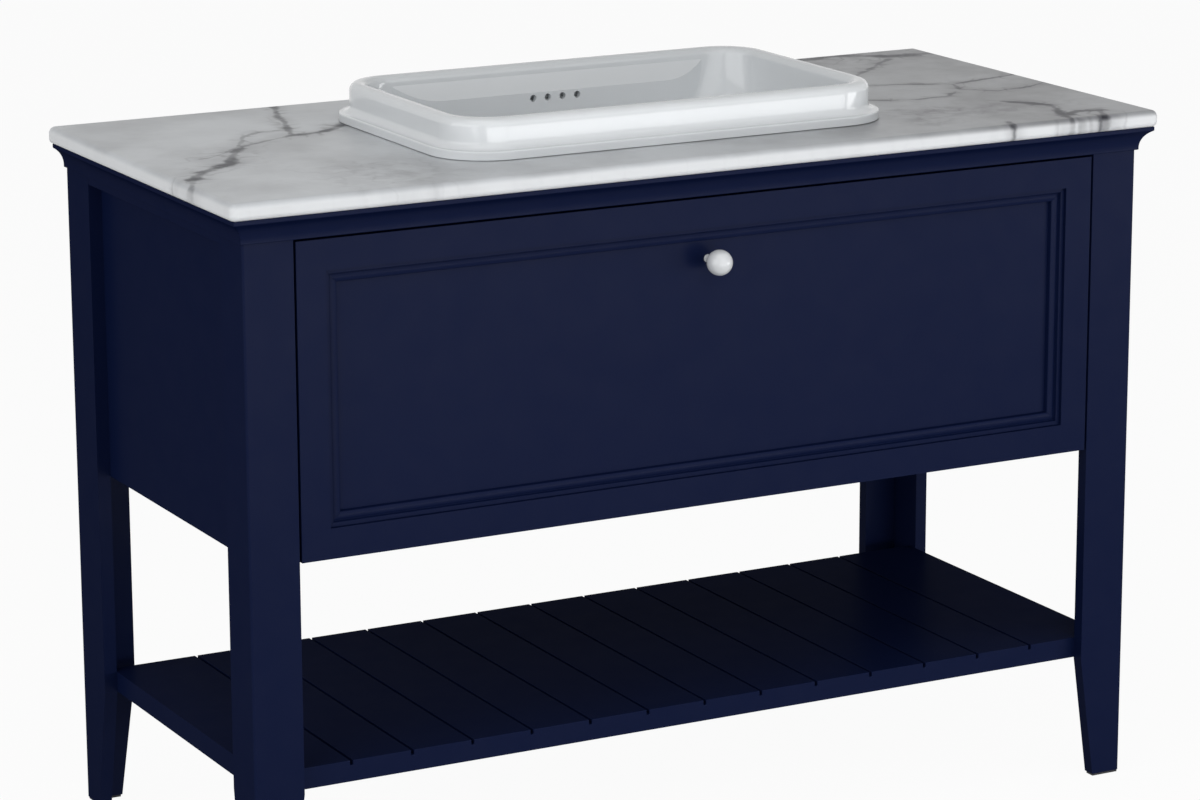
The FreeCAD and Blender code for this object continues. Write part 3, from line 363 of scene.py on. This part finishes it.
@dataclass(frozen=True)
class Marble:
    """Pale polished stone with dark veins and a few purple-grey stains."""

    name: str = "marble"
    pale: Colour = (0.66, 0.685, 0.71, 1)
    grey: Colour = (0.265, 0.27, 0.283, 1)
    # Painted highlight: edge is the lighter colour given to the slab's side faces, standing in for the
    # light that falls brighter there than on the top.
    edge: Colour = (0.82, 0.84, 0.86, 1)
    bruise: Colour = (0.085, 0.078, 0.098, 1)
    dark: Colour = (0.024, 0.025, 0.034, 1)
    veins: tuple[Vein, ...] = (
        Vein(((-0.625, -0.203), (-0.605, -0.162), (-0.578, -0.111)), 0.0075, 0.5),
        Vein(
            ((-0.578, -0.111), (-0.553, -0.074), (-0.511, -0.046), (-0.494, -0.020)),
            0.0170,
            1.0,
            0.036,
        ),
        Vein(((-0.494, -0.020), (-0.469, 0.023), (-0.447, 0.047)), 0.0120, 0.85, 0.036),
        Vein(((-0.447, 0.047), (-0.393, 0.076), (-0.372, 0.087)), 0.0072, 0.6),
        Vein(((-0.385, 0.079), (-0.349, 0.089), (-0.323, 0.097), (-0.295, 0.120)), 0.0120, 0.9, 0.030),
        Vein(((-0.370, 0.093), (-0.349, 0.165), (-0.323, 0.245), (-0.310, 0.285)), 0.0083, 0.75),
        Vein(((-0.462, 0.033), (-0.426, 0.102), (-0.396, 0.122), (-0.364, 0.120)), 0.0054, 0.45),
        Vein(((-0.523, -0.004), (-0.489, 0.013), (-0.451, 0.049)), 0.0060, 0.5, 0.030),
        Vein(
            ((0.390, 0.058), (0.437, 0.041), (0.486, 0.014), (0.579, 0.032), (0.620, 0.040)),
            0.0075,
            0.8,
        ),
        Vein(
            ((0.486, 0.014), (0.471, -0.024), (0.506, -0.056), (0.545, -0.052), (0.620, -0.020)),
            0.0075,
            0.8,
        ),
        Vein(((0.330, -0.035), (0.387, -0.061), (0.436, -0.059), (0.457, -0.037)), 0.0069, 0.7),
        Vein(
            ((0.470, -0.120), (0.503, -0.169), (0.498, -0.199), (0.482, -0.237), (0.464, -0.295)),
            0.0120,
            1.0,
            0.030,
        ),
        Vein(((0.486, -0.239), (0.511, -0.222), (0.535, -0.235), (0.510, -0.295)), 0.0140, 1.0, 0.034),
        Vein(
            ((0.300, 0.285), (0.418, 0.264), (0.474, 0.270), (0.525, 0.242), (0.620, 0.230)),
            0.0260,
            1.0,
            0.055,
        ),
        Vein(((0.521, 0.216), (0.459, 0.160), (0.414, 0.123)), 0.0097, 0.75),
        Vein(((0.399, -0.246), (0.387, -0.295)), 0.0063, 0.6),
    )
    hazes: tuple[Haze, ...] = (
        Haze((0.376, -0.136), 0.16, 0.2),
        Haze((0.470, -0.046), 0.18, 0.2),
        Haze((0.500, -0.176), 0.11, 0.25),
        Haze((0.326, -0.136), 0.048, 0.9),
        Haze((0.371, -0.145), 0.060, 1.0),
        Haze((0.321, -0.188), 0.050, 0.8),
        Haze((0.430, -0.160), 0.065, 0.9),
        Haze((-0.380, -0.175), 0.14, 0.32),
        Haze((-0.500, -0.016), 0.09, 0.25),
        Haze((0.470, 0.250), 0.14, 0.45),
    )
    wander: tuple[Span, ...] = ((0.12, 0.014), (0.035, 0.012), (0.009, 0.005))
    strand_size: float = 0.045
    strand_width: float = 0.045
    strand_in_band: float = 0.8
    strand_in_stain: float = 0.4
    strand_elsewhere: float = 0.02
    patch_size: float = 0.030
    patch_span: Span = (0.3, 0.7)
    thinnest: float = 0.35
    solid_core: float = 0.2
    core_floor: float = 0.6
    core_swell: float = 0.5
    band_floor: float = 0.4
    band_share: float = 0.4
    breakup_size: float = 0.03
    breakup_span: Span = (0.35, 0.6)
    solid_stain: float = 0.2
    stain_floor: float = 0.2
    stain_share: float = 0.75
    cloud_size: float = 0.17
    cloud_span: Span = (0.35, 0.75)
    cloud_share: float = 0.55
    greying_span: Span = (-0.2, 0.5)
    greying_share: float = 0.6
    # Painted highlight on the side faces: how far a face must turn from the top to take it, and how much
    # the vein cores fade under it.
    highlight_span: Span = (0.0, 0.8)
    highlight_vein_fade: float = 0.6
    roughness: float = 0.30
    polish_size: float = 0.02
    polish_swing: float = 0.1
    vein_roughness: float = 0.1
    specular: float = 0.20
    grain_size: float = 0.004
    grain_strength: float = 0.1
    grain_depth: float = 0.00004

    def material(self) -> bpy.types.Material:
        """Make the stone, from its ground up to its veins, with a painted highlight on its side faces.

        Returns:
            The material of the stone.
        """
        coat = Coat(self.name)
        graph = coat.graph
        place = graph.place()
        flat = self.warped(graph, place)
        patchy = graph.noise(place, self.patch_size, detail=3).rise(*self.patch_span)
        core, band = self.vein_masks(flat, patchy)
        stain = self.stain_mask(flat, graph.noise(flat, self.breakup_size, detail=5))
        # Painted highlight: faces turned away from the top blend towards the lighter edge colour, and the
        # vein cores fade there.
        highlight_mask = 1 - graph.out("ShaderNodeTexCoord", "Normal").dot((0, 0, 1)).rise(*self.highlight_span)
        highlighted = graph.mix(highlight_mask, self.ground(graph, flat), self.edge)
        stained = graph.mix(
            (stain * self.stain_share + band * self.band_share).held(), highlighted, self.bruise
        )
        room = band * self.strand_in_band + stain * self.strand_in_stain + self.strand_elsewhere
        lined = graph.mix((self.strand_mask(graph, flat) * room).held(), stained, self.dark)
        veined = graph.mix(core * (1 - highlight_mask * self.highlight_vein_fade), lined, self.dark)
        polish = graph.noise(place, self.polish_size, detail=3) * self.polish_swing
        grain = graph.noise(place, self.grain_size, detail=2)
        return coat.surface(
            {
                "Base Color": veined,
                "Roughness": self.roughness + polish + core * self.vein_roughness,
                "Specular IOR Level": self.specular,
                "Normal": graph.bump(grain, self.grain_strength, self.grain_depth),
            }
        )

    def ground(self, graph: Graph, flat: Signal) -> Signal:
        """Cloudy ground of the stone, which greys to the right.

        Args:
            graph: Graph of the material.
            flat: Warped place with no height.

        Returns:
            The signal of the ground's colour.
        """
        cloud = graph.noise(flat, self.cloud_size, detail=4).rise(*self.cloud_span)
        greying = flat.dot((1, 0, 0)).rise(*self.greying_span)
        share = cloud * self.cloud_share + greying * self.greying_share
        return graph.mix(share.held(), self.pale, self.grey)

    def warped(self, graph: Graph, place: Signal) -> Signal:
        """Place with no height, pushed about so that the veins wander.

        Args:
            graph: Graph of the material.
            place: Place on the slab in metres.

        Returns:
            The signal of the warped place.
        """
        moved = place
        for size, reach in self.wander:
            push = graph.noise(place, size, detail=2, output="Color") - (NOISE_MEAN,) * 3
            moved = moved + push * reach
        return moved * (1.0, 1.0, 0.0)

    def vein_masks(self, flat: Signal, patchy: Signal) -> tuple[Signal, Signal]:
        """Dark cores of the veins and the mottled band that surrounds them.

        Args:
            flat: Warped place with no height.
            patchy: Noise that thickens and thins the veins.

        Returns:
            The signals of the cores and the bands.
        """
        core, band = None, None
        for vein in self.veins:
            distance = vein.distance(flat)
            reach = (self.thinnest + patchy * (1 - self.thinnest)) * vein.width
            strength = vein.depth * (self.core_floor + self.core_swell * patchy)
            line = (1 - distance.rise(reach * self.solid_core, reach)) * strength
            glow = (1 - distance.rise(0.0, vein.spread)) * vein.depth
            core = line if core is None else core.most(line)
            band = glow if band is None else band.most(glow)
        return core.held(), band * (self.band_floor + (1 - self.band_floor) * patchy)

    def stain_mask(self, flat: Signal, breakup: Signal) -> Signal:
        """Soft purple-grey stains.

        Args:
            flat: Warped place with no height.
            breakup: Noise that breaks up the stains.

        Returns:
            The signal of the stains.
        """
        stain = None
        for haze in self.hazes:
            distance = (flat - (*haze.centre, 0.0)).length()
            patch = (1 - distance.rise(haze.radius * self.solid_stain, haze.radius)) * haze.depth
            stain = patch if stain is None else stain.most(patch)
        broken = breakup.rise(*self.breakup_span)
        return stain * (self.stain_floor + (1 - self.stain_floor) * broken)

    def strand_mask(self, graph: Graph, flat: Signal) -> Signal:
        """Thin strands along the level lines of a noise.

        Args:
            graph: Graph of the material.
            flat: Warped place with no height.

        Returns:
            The signal of the strands.
        """
        level = graph.noise(flat, self.strand_size, detail=1) - NOISE_MEAN
        return 1 - abs(level).rise(0.0, self.strand_width)


@dataclass(frozen=True)
class Glaze:
    """Fired white glaze with a slow wave in its surface."""

    name: str
    colour: Colour = (0.775, 0.80, 0.82, 1)
    pool: Colour = (0.745, 0.77, 0.79, 1)
    wave_size: float = 0.05
    wave_strength: float = 0.08
    wave_depth: float = 0.0004
    roughness: float = 0.07
    speck_size: float = 0.006
    speck_swing: float = 0.04
    specular: float = 0.5

    def material(self) -> bpy.types.Material:
        """Make the glaze, waved and specked.

        Returns:
            The material of the glaze.
        """
        coat = Coat(self.name)
        graph = coat.graph
        place = graph.place()
        wave = graph.noise(place, self.wave_size, detail=1)
        speck = graph.noise(place, self.speck_size, detail=3)
        return coat.surface(
            {
                "Base Color": graph.mix(wave, self.colour, self.pool),
                "Roughness": self.roughness + speck * self.speck_swing,
                "Specular IOR Level": self.specular,
                "Normal": graph.bump(wave, self.wave_strength, self.wave_depth),
            }
        )


@dataclass(frozen=True)
class BareMetal:
    """Plated or polished metal with fine lines along one axis."""

    name: str
    colour: Colour
    dull: Colour
    roughness: float
    lines: Axis
    line_size: float = 0.0008
    line_depth: float = 0.00003
    line_strength: float = 0.3
    line_swing: float = 0.12
    stretch: float = 0.02
    spangle_size: float = 0.012
    spangle_swing: float = 0.1

    def material(self) -> bpy.types.Material:
        """Make the metal, lined and spangled.

        Returns:
            The material of the metal.
        """
        coat = Coat(self.name)
        graph = coat.graph
        place = graph.place()
        squeeze = tuple(self.stretch if axis is self.lines else 1.0 for axis in Axis)
        lines = graph.noise(place * squeeze, self.line_size, detail=2)
        spangle = graph.noise(place, self.spangle_size, detail=3)
        swing = (lines - NOISE_MEAN) * self.line_swing
        swing += (spangle - NOISE_MEAN) * self.spangle_swing
        return coat.surface(
            {
                "Base Color": graph.mix(spangle, self.colour, self.dull),
                "Metallic": 1.0,
                "Roughness": self.roughness + swing,
                "Normal": graph.bump(lines, self.line_strength, self.line_depth),
            }
        )


@dataclass(frozen=True)
class Birch:
    """Clear lacquered birch with its grain along one axis."""

    name: str
    grain: Axis
    pale: Colour = (0.66, 0.50, 0.32, 1)
    deep: Colour = (0.50, 0.345, 0.19, 1)
    pore: Colour = (0.36, 0.235, 0.125, 1)
    stretch: float = 0.07
    figure_size: float = 0.03
    figure_span: Span = (0.3, 0.7)
    fibre_size: float = 0.0015
    fibre_span: Span = (0.35, 0.8)
    fibre_share: float = 0.35
    fibre_strength: float = 0.25
    fibre_depth: float = 0.00008
    pore_size: float = 0.0009
    pore_span: Span = (0.62, 0.72)
    pore_share: float = 0.6
    roughness: float = 0.42
    roughness_swing: float = 0.16
    specular: float = 0.35

    def material(self) -> bpy.types.Material:
        """Make the wood, with figure, fibre and pores.

        Returns:
            The material of the wood.
        """
        coat = Coat(self.name)
        graph = coat.graph
        place = graph.place()
        squeeze = tuple(self.stretch if axis is self.grain else 1.0 for axis in Axis)
        along = place * squeeze
        figure = graph.noise(along, self.figure_size, detail=4)
        fibre = graph.noise(along, self.fibre_size, detail=3)
        pores = graph.noise(along, self.pore_size, detail=2).rise(*self.pore_span)
        wood = graph.mix(figure.rise(*self.figure_span), self.pale, self.deep)
        pored = graph.mix(pores * self.pore_share, wood, self.pore)
        streak = fibre.rise(*self.fibre_span) * self.fibre_share
        return coat.surface(
            {
                "Base Color": graph.mix(streak, pored, self.deep),
                "Roughness": self.roughness + fibre * self.roughness_swing,
                "Specular IOR Level": self.specular,
                "Normal": graph.bump(fibre, self.fibre_strength, self.fibre_depth),
            }
        )


@dataclass(frozen=True)
class Moulded:
    """Moulded rubber, plastic or sealant with a fine skin."""

    name: str
    colour: Colour
    worn: Colour
    roughness: float
    skin_size: float = 0.0012
    skin_strength: float = 0.3
    skin_depth: float = 0.00006
    cloud_size: float = 0.02
    roughness_swing: float = 0.15
    specular: float = 0.3

    def material(self) -> bpy.types.Material:
        """Make the moulding, clouded and skinned.

        Returns:
            The material of the moulding.
        """
        coat = Coat(self.name)
        graph = coat.graph
        place = graph.place()
        skin = graph.noise(place, self.skin_size, detail=3)
        cloud = graph.noise(place, self.cloud_size, detail=3)
        return coat.surface(
            {
                "Base Color": graph.mix(cloud, self.colour, self.worn),
                "Roughness": self.roughness + (skin - NOISE_MEAN) * self.roughness_swing,
                "Specular IOR Level": self.specular,
                "Normal": graph.bump(skin, self.skin_strength, self.skin_depth),
            }
        )


class Finishes:
    """Every finish of the unit, made once."""

    def __init__(self) -> None:
        """Make the materials."""
        self.lacquer = Lacquer().material()
        self.marble = Marble().material()
        self.basin_glaze = Glaze("basin_glaze").material()
        self.knob_glaze = Glaze(
            "knob_glaze", (0.76, 0.78, 0.80, 1), (0.73, 0.75, 0.77, 1), wave_size=0.01
        ).material()
        self.chrome = BareMetal(
            "chrome",
            (0.80, 0.81, 0.83, 1),
            (0.74, 0.75, 0.77, 1),
            0.10,
            Axis.Z,
            line_size=0.003,
            line_depth=0.00001,
        ).material()
        self.brass = BareMetal(
            "brass", (0.66, 0.47, 0.20, 1), (0.52, 0.36, 0.15, 1), 0.34, Axis.Z
        ).material()
        self.runner_steel = BareMetal(
            "runner_steel", (0.62, 0.64, 0.67, 1), (0.52, 0.54, 0.56, 1), 0.34, Axis.Y
        ).material()
        self.ball_steel = BareMetal(
            "ball_steel", (0.70, 0.71, 0.73, 1), (0.60, 0.61, 0.63, 1), 0.20, Axis.Y
        ).material()
        self.screw_steel = BareMetal(
            "screw_steel", (0.60, 0.61, 0.62, 1), (0.50, 0.50, 0.51, 1), 0.30, Axis.X
        ).material()
        self.rubber = Moulded(
            "rubber", (0.018, 0.018, 0.018, 1), (0.032, 0.032, 0.033, 1), 0.75
        ).material()
        self.glide = Moulded(
            "glide_plastic", (0.014, 0.014, 0.016, 1), (0.03, 0.03, 0.032, 1), 0.55
        ).material()
        self.sealant = Moulded(
            "sealant", (0.60, 0.60, 0.60, 1), (0.52, 0.52, 0.52, 1), 0.6, skin_size=0.004
        ).material()
        self.birch = {
            axis: Birch(f"drawer_birch_{axis.name.lower()}", axis).material() for axis in (Axis.X, Axis.Y)
        }


def node(name: str) -> bpy.types.Object:
    """Object of a CAD node."""
    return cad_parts[name]


def both(*stems: str) -> list[str]:
    """Left and right names of paired pieces."""
    return [f"{stem}_{side}" for stem in stems for side in SIDES]


def paint(names: list[str], material: bpy.types.Material) -> None:
    """Give CAD nodes a material.

    Args:
        names: Names of the nodes.
        material: Their finish.
    """
    for name in names:
        piece = node(name)
        piece.data.materials.clear()
        piece.data.materials.append(material)
        LOG.info("%s: %s", name, material.name)


def ease_edges(names: list[str], width: float, segments: int = 2) -> None:
    """Break the sharp edges of CAD nodes.

    Args:
        names: Names of the nodes.
        width: Width of the rounding in metres.
        segments: Steps across the rounding.
    """
    for name in names:
        piece = node(name)
        weld = piece.modifiers.new("weld", "WELD")
        weld.merge_threshold = WELD_GAP
        bevel = piece.modifiers.new("eased_edge", "BEVEL")
        bevel.width = width
        bevel.segments = segments
        bevel.limit_method = "ANGLE"
        bevel.angle_limit = SHARP_ANGLE
        piece.modifiers.new("face_normals", "WEIGHTED_NORMAL").keep_sharp = True


@dataclass
class LegFrame:
    """Four angle legs with the carcass boards between them."""

    edge: float = 0.0009
    legs: list[str] = field(default_factory=lambda: both("leg_front", "leg_rear"))
    boards: list[str] = field(
        default_factory=lambda: [
            *both("side_panel", "side_rail", "runner_packer"),
            "front_top_rail",
            "rear_bottom_rail",
            "carcass_floor",
        ]
    )

    def build(self) -> None:
        """Break the edges of the boards, all but the drilled rear rail."""
        ease_edges(self.legs + self.boards, self.edge)

    def dress(self, finishes: Finishes) -> None:
        """Lacquer the boards, and leave the glides black."""
        paint([*self.legs, *self.boards, "rear_top_rail"], finishes.lacquer)
        paint(["foot_glides"], finishes.glide)


@dataclass
class Shelf:
    """Slatted shelf between the legs."""

    edge: float = 0.0008

    def build(self) -> None:
        """Break the edges of the slats."""
        ease_edges(["shelf_panel"], self.edge)

    def dress(self, finishes: Finishes) -> None:
        """Lacquer the shelf."""
        paint(["shelf_panel"], finishes.lacquer)


@dataclass
class StoneTop:
    """Cornice and stone slab."""

    edge: float = 0.0007
    cornice: list[str] = field(default_factory=lambda: ["cornice_front", *both("cornice")])

    def build(self) -> None:
        """Break the edges of the cornice."""
        ease_edges(self.cornice, self.edge)

    def dress(self, finishes: Finishes) -> None:
        """Lacquer the cornice and vein the slab."""
        paint(self.cornice, finishes.lacquer)
        paint(["slab"], finishes.marble)


@dataclass
class Basin:
    """Glazed basin with its sealant and waste."""

    edge: float = 0.001

    def build(self) -> None:
        """Soften the edges of the ledge and of the holes, as thick glaze does."""
        ease_edges(["basin"], self.edge)

    def dress(self, finishes: Finishes) -> None:
        """Glaze the basin and plate its waste.

        Args:
            finishes: The unit's finishes.
        """
        paint(["basin"], finishes.basin_glaze)
        paint(["basin_seal"], finishes.sealant)
        paint(["waste_body", "waste_plug"], finishes.chrome)
        paint(["waste_nut"], finishes.brass)
        paint(["waste_seal", "waste_gasket"], finishes.rubber)


@dataclass
class DrawerFront:
    """Panelled drawer front with its mouldings and knob."""

    edge: float = 0.0004
    boards: list[str] = field(
        default_factory=lambda: [
            *both("front_stile"),
            "front_rail_top",
            "front_rail_bottom",
            "front_panel",
        ]
    )
    mouldings: list[str] = field(
        default_factory=lambda: [*both("moulding"), "moulding_top", "moulding_bottom"]
    )

    def build(self) -> None:
        """Break the edges of the mouldings."""
        ease_edges(self.mouldings, self.edge)

    def dress(self, finishes: Finishes) -> None:
        """Lacquer the front and glaze the knob.

        Args:
            finishes: The unit's finishes.
        """
        paint(self.boards + self.mouldings, finishes.lacquer)
        paint(["knob"], finishes.knob_glaze)
        paint(["knob_bolt", "front_screws"], finishes.screw_steel)


@dataclass
class DrawerBox:
    """Birch box behind the drawer front."""

    edge: float = 0.001

    def build(self) -> None:
        """Break the edges of the box, all but its drilled front and its bottom."""
        ease_edges([*both("drawer_side", "drawer_back", "trap_recess"), "trap_recess_front"], self.edge)

    def dress(self, finishes: Finishes) -> None:
        """Finish each board with its grain along its length.

        Args:
            finishes: The unit's finishes.
        """
        crosswise = [*both("drawer_back"), "drawer_subfront", "drawer_bottom", "trap_recess_front"]
        paint(both("drawer_side", "trap_recess"), finishes.birch[Axis.Y])
        paint(crosswise, finishes.birch[Axis.X])


@dataclass
class Runners:
    """Ball runners on both sides of the drawer."""

    edge: float = 0.0002
    channels: list[str] = field(
        default_factory=lambda: both("runner_outer", "runner_middle", "runner_inner")
    )

    def build(self) -> None:
        """Break the edges of the rolled channels."""
        ease_edges(self.channels, self.edge)

    def dress(self, finishes: Finishes) -> None:
        """Plate the channels and polish the balls."""
        paint(self.channels, finishes.runner_steel)
        paint(both("ball_cage_outer", "ball_cage_inner"), finishes.ball_steel)


@dataclass(frozen=True)
class Softbox:
    """Rectangular lamp."""

    name: str
    place: Point3
    aim: Point3
    width: float
    height: float
    power: float

    def build(self) -> None:
        """Add the lamp to the scene."""
        lamp = bpy.data.lights.new(self.name, "AREA")
        lamp.shape = "RECTANGLE"
        lamp.size = self.width
        lamp.size_y = self.height
        lamp.energy = self.power
        piece = bpy.data.objects.new(self.name, lamp)
        piece.location = self.place
        piece.rotation_mode = "QUATERNION"
        way = Vector(self.aim) - Vector(self.place)
        piece.rotation_quaternion = way.to_track_quat("-Z", "Y")
        piece.visible_camera = False
        bpy.context.scene.collection.objects.link(piece)


@dataclass
class Studio:
    """Pale floor, soft lamps, white surroundings and the camera."""

    floor_half: float = 12.0
    floor_drop: float = 0.0005
    floor_colour: Colour = (0.32, 0.32, 0.32, 1)
    floor_seen: Colour = (0.9, 0.9, 0.9, 1)
    floor_white: float = 0.95
    ambient: float = 0.17
    camera_place: Point3 = (-2.3035, -4.2993, 1.6909)
    yaw: float = 28.015
    pitch: float = 13.825
    roll: float = -0.201
    lens: float = 125.60
    sensor_width: float = 36.0
    clip_end: float = 100.0
    lamps: tuple[Softbox, ...] = (
        Softbox("low_panel", (0.25, -2.95, 0.31), (0.1, -0.25, 0.60), 3.4, 0.60, 24.5),
        Softbox("key_lamp", (0.1, -2.9, 2.0), (0.0, -0.2, 0.70), 3.6, 2.0, 22),
        Softbox("right_lamp", (2.75, -2.2, 0.60), (0.3, -0.25, 0.70), 1.5, 1.0, 24),
        Softbox("top_lamp", (-0.6, -0.9, 2.9), (0.0, 0.0, 0.8), 2.4, 1.6, 13),
        Softbox("left_lamp", (-3.4, -0.9, 1.3), (-0.3, 0.0, 0.6), 4.4, 2.5, 58),
    )

    def build(self) -> None:
        """Add the floor, lamps, surroundings and camera."""
        bpy.context.scene.view_settings.view_transform = "Standard"
        self.build_floor()
        for lamp in self.lamps:
            lamp.build()
        self.build_world()
        self.build_camera()

    def build_floor(self) -> None:
        """Add a plain floor that stays white around the unit's shadow."""
        half, level = self.floor_half, -self.floor_drop
        data = bpy.data.meshes.new("floor")
        corners = [(-half, -half, level), (half, -half, level), (half, half, level), (-half, half, level)]
        data.from_pydata(corners, [], [(0, 1, 2, 3)])
        floor = bpy.data.objects.new("floor", data)
        bpy.context.scene.collection.objects.link(floor)
        coat = Coat("floor")
        graph = coat.graph
        bounce = graph.out("ShaderNodeBsdfDiffuse", "BSDF", {}, {"Color": self.floor_colour})
        shaded = graph.out("ShaderNodeBsdfDiffuse", "BSDF", {}, {"Color": self.floor_seen})
        white = graph.out("ShaderNodeEmission", "Emission", {}, {"Strength": 1.0})
        shown = graph.out("ShaderNodeMixShader", "Shader", {}, {0: self.floor_white, 1: shaded, 2: white})
        sockets = {0: self.seen_directly(graph), 1: bounce, 2: shown}
        blend = graph.out("ShaderNodeMixShader", "Shader", {}, sockets)
        graph.node("ShaderNodeOutputMaterial", {}, {"Surface": blend})
        data.materials.append(coat.material)

    def seen_directly(self, graph: Graph) -> Signal:
        """Whether a ray comes from the camera, a reflection or a clear piece.

        Args:
            graph: Graph that needs the answer.

        Returns:
            The signal, 1 for such a ray.
        """
        path = graph.node("ShaderNodeLightPath")
        names = ("Is Camera Ray", "Is Glossy Ray", "Is Transmission Ray")
        camera, mirrored, through = (Signal(graph, path.outputs[name]) for name in names)
        return camera.most(mirrored).most(through)

    def build_world(self) -> None:
        """Add white surroundings that light the unit softly."""
        world = bpy.data.worlds.new("studio")
        world.use_nodes = True
        bpy.context.scene.world = world
        graph = Graph(world.node_tree)
        strength = self.ambient + self.seen_directly(graph) * (1 - self.ambient)
        sockets = {"Color": (1, 1, 1, 1), "Strength": strength}
        light = graph.out("ShaderNodeBackground", "Background", {}, sockets)
        graph.node("ShaderNodeOutputWorld", {}, {"Surface": light})

    def build_camera(self) -> None:
        """Add the camera at the photograph's viewing angle."""
        yaw, pitch = math.radians(self.yaw), math.radians(self.pitch)
        level = math.cos(pitch)
        forward = Vector((math.sin(yaw) * level, math.cos(yaw) * level, -math.sin(pitch)))
        data = bpy.data.cameras.new("camera")
        data.lens = self.lens
        data.sensor_width = self.sensor_width
        data.clip_end = self.clip_end
        camera = bpy.data.objects.new("camera", data)
        camera.location = self.camera_place
        camera.rotation_mode = "QUATERNION"
        turn = Quaternion(forward, -math.radians(self.roll))
        camera.rotation_quaternion = turn @ forward.to_track_quat("-Z", "Y")
        bpy.context.scene.collection.objects.link(camera)
        bpy.context.scene.camera = camera


def main() -> None:
    """Build the studio, then each sub-assembly in turn."""
    logging.basicConfig(level=logging.INFO, format="%(message)s")
    Studio().build()
    finishes = Finishes()
    for assembly in (LegFrame(), Shelf(), StoneTop(), Basin(), DrawerFront(), DrawerBox(), Runners()):
        assembly.build()
        assembly.dress(finishes)
        LOG.info("%s done", type(assembly).__name__)


if __name__ == "__main__":
    main()
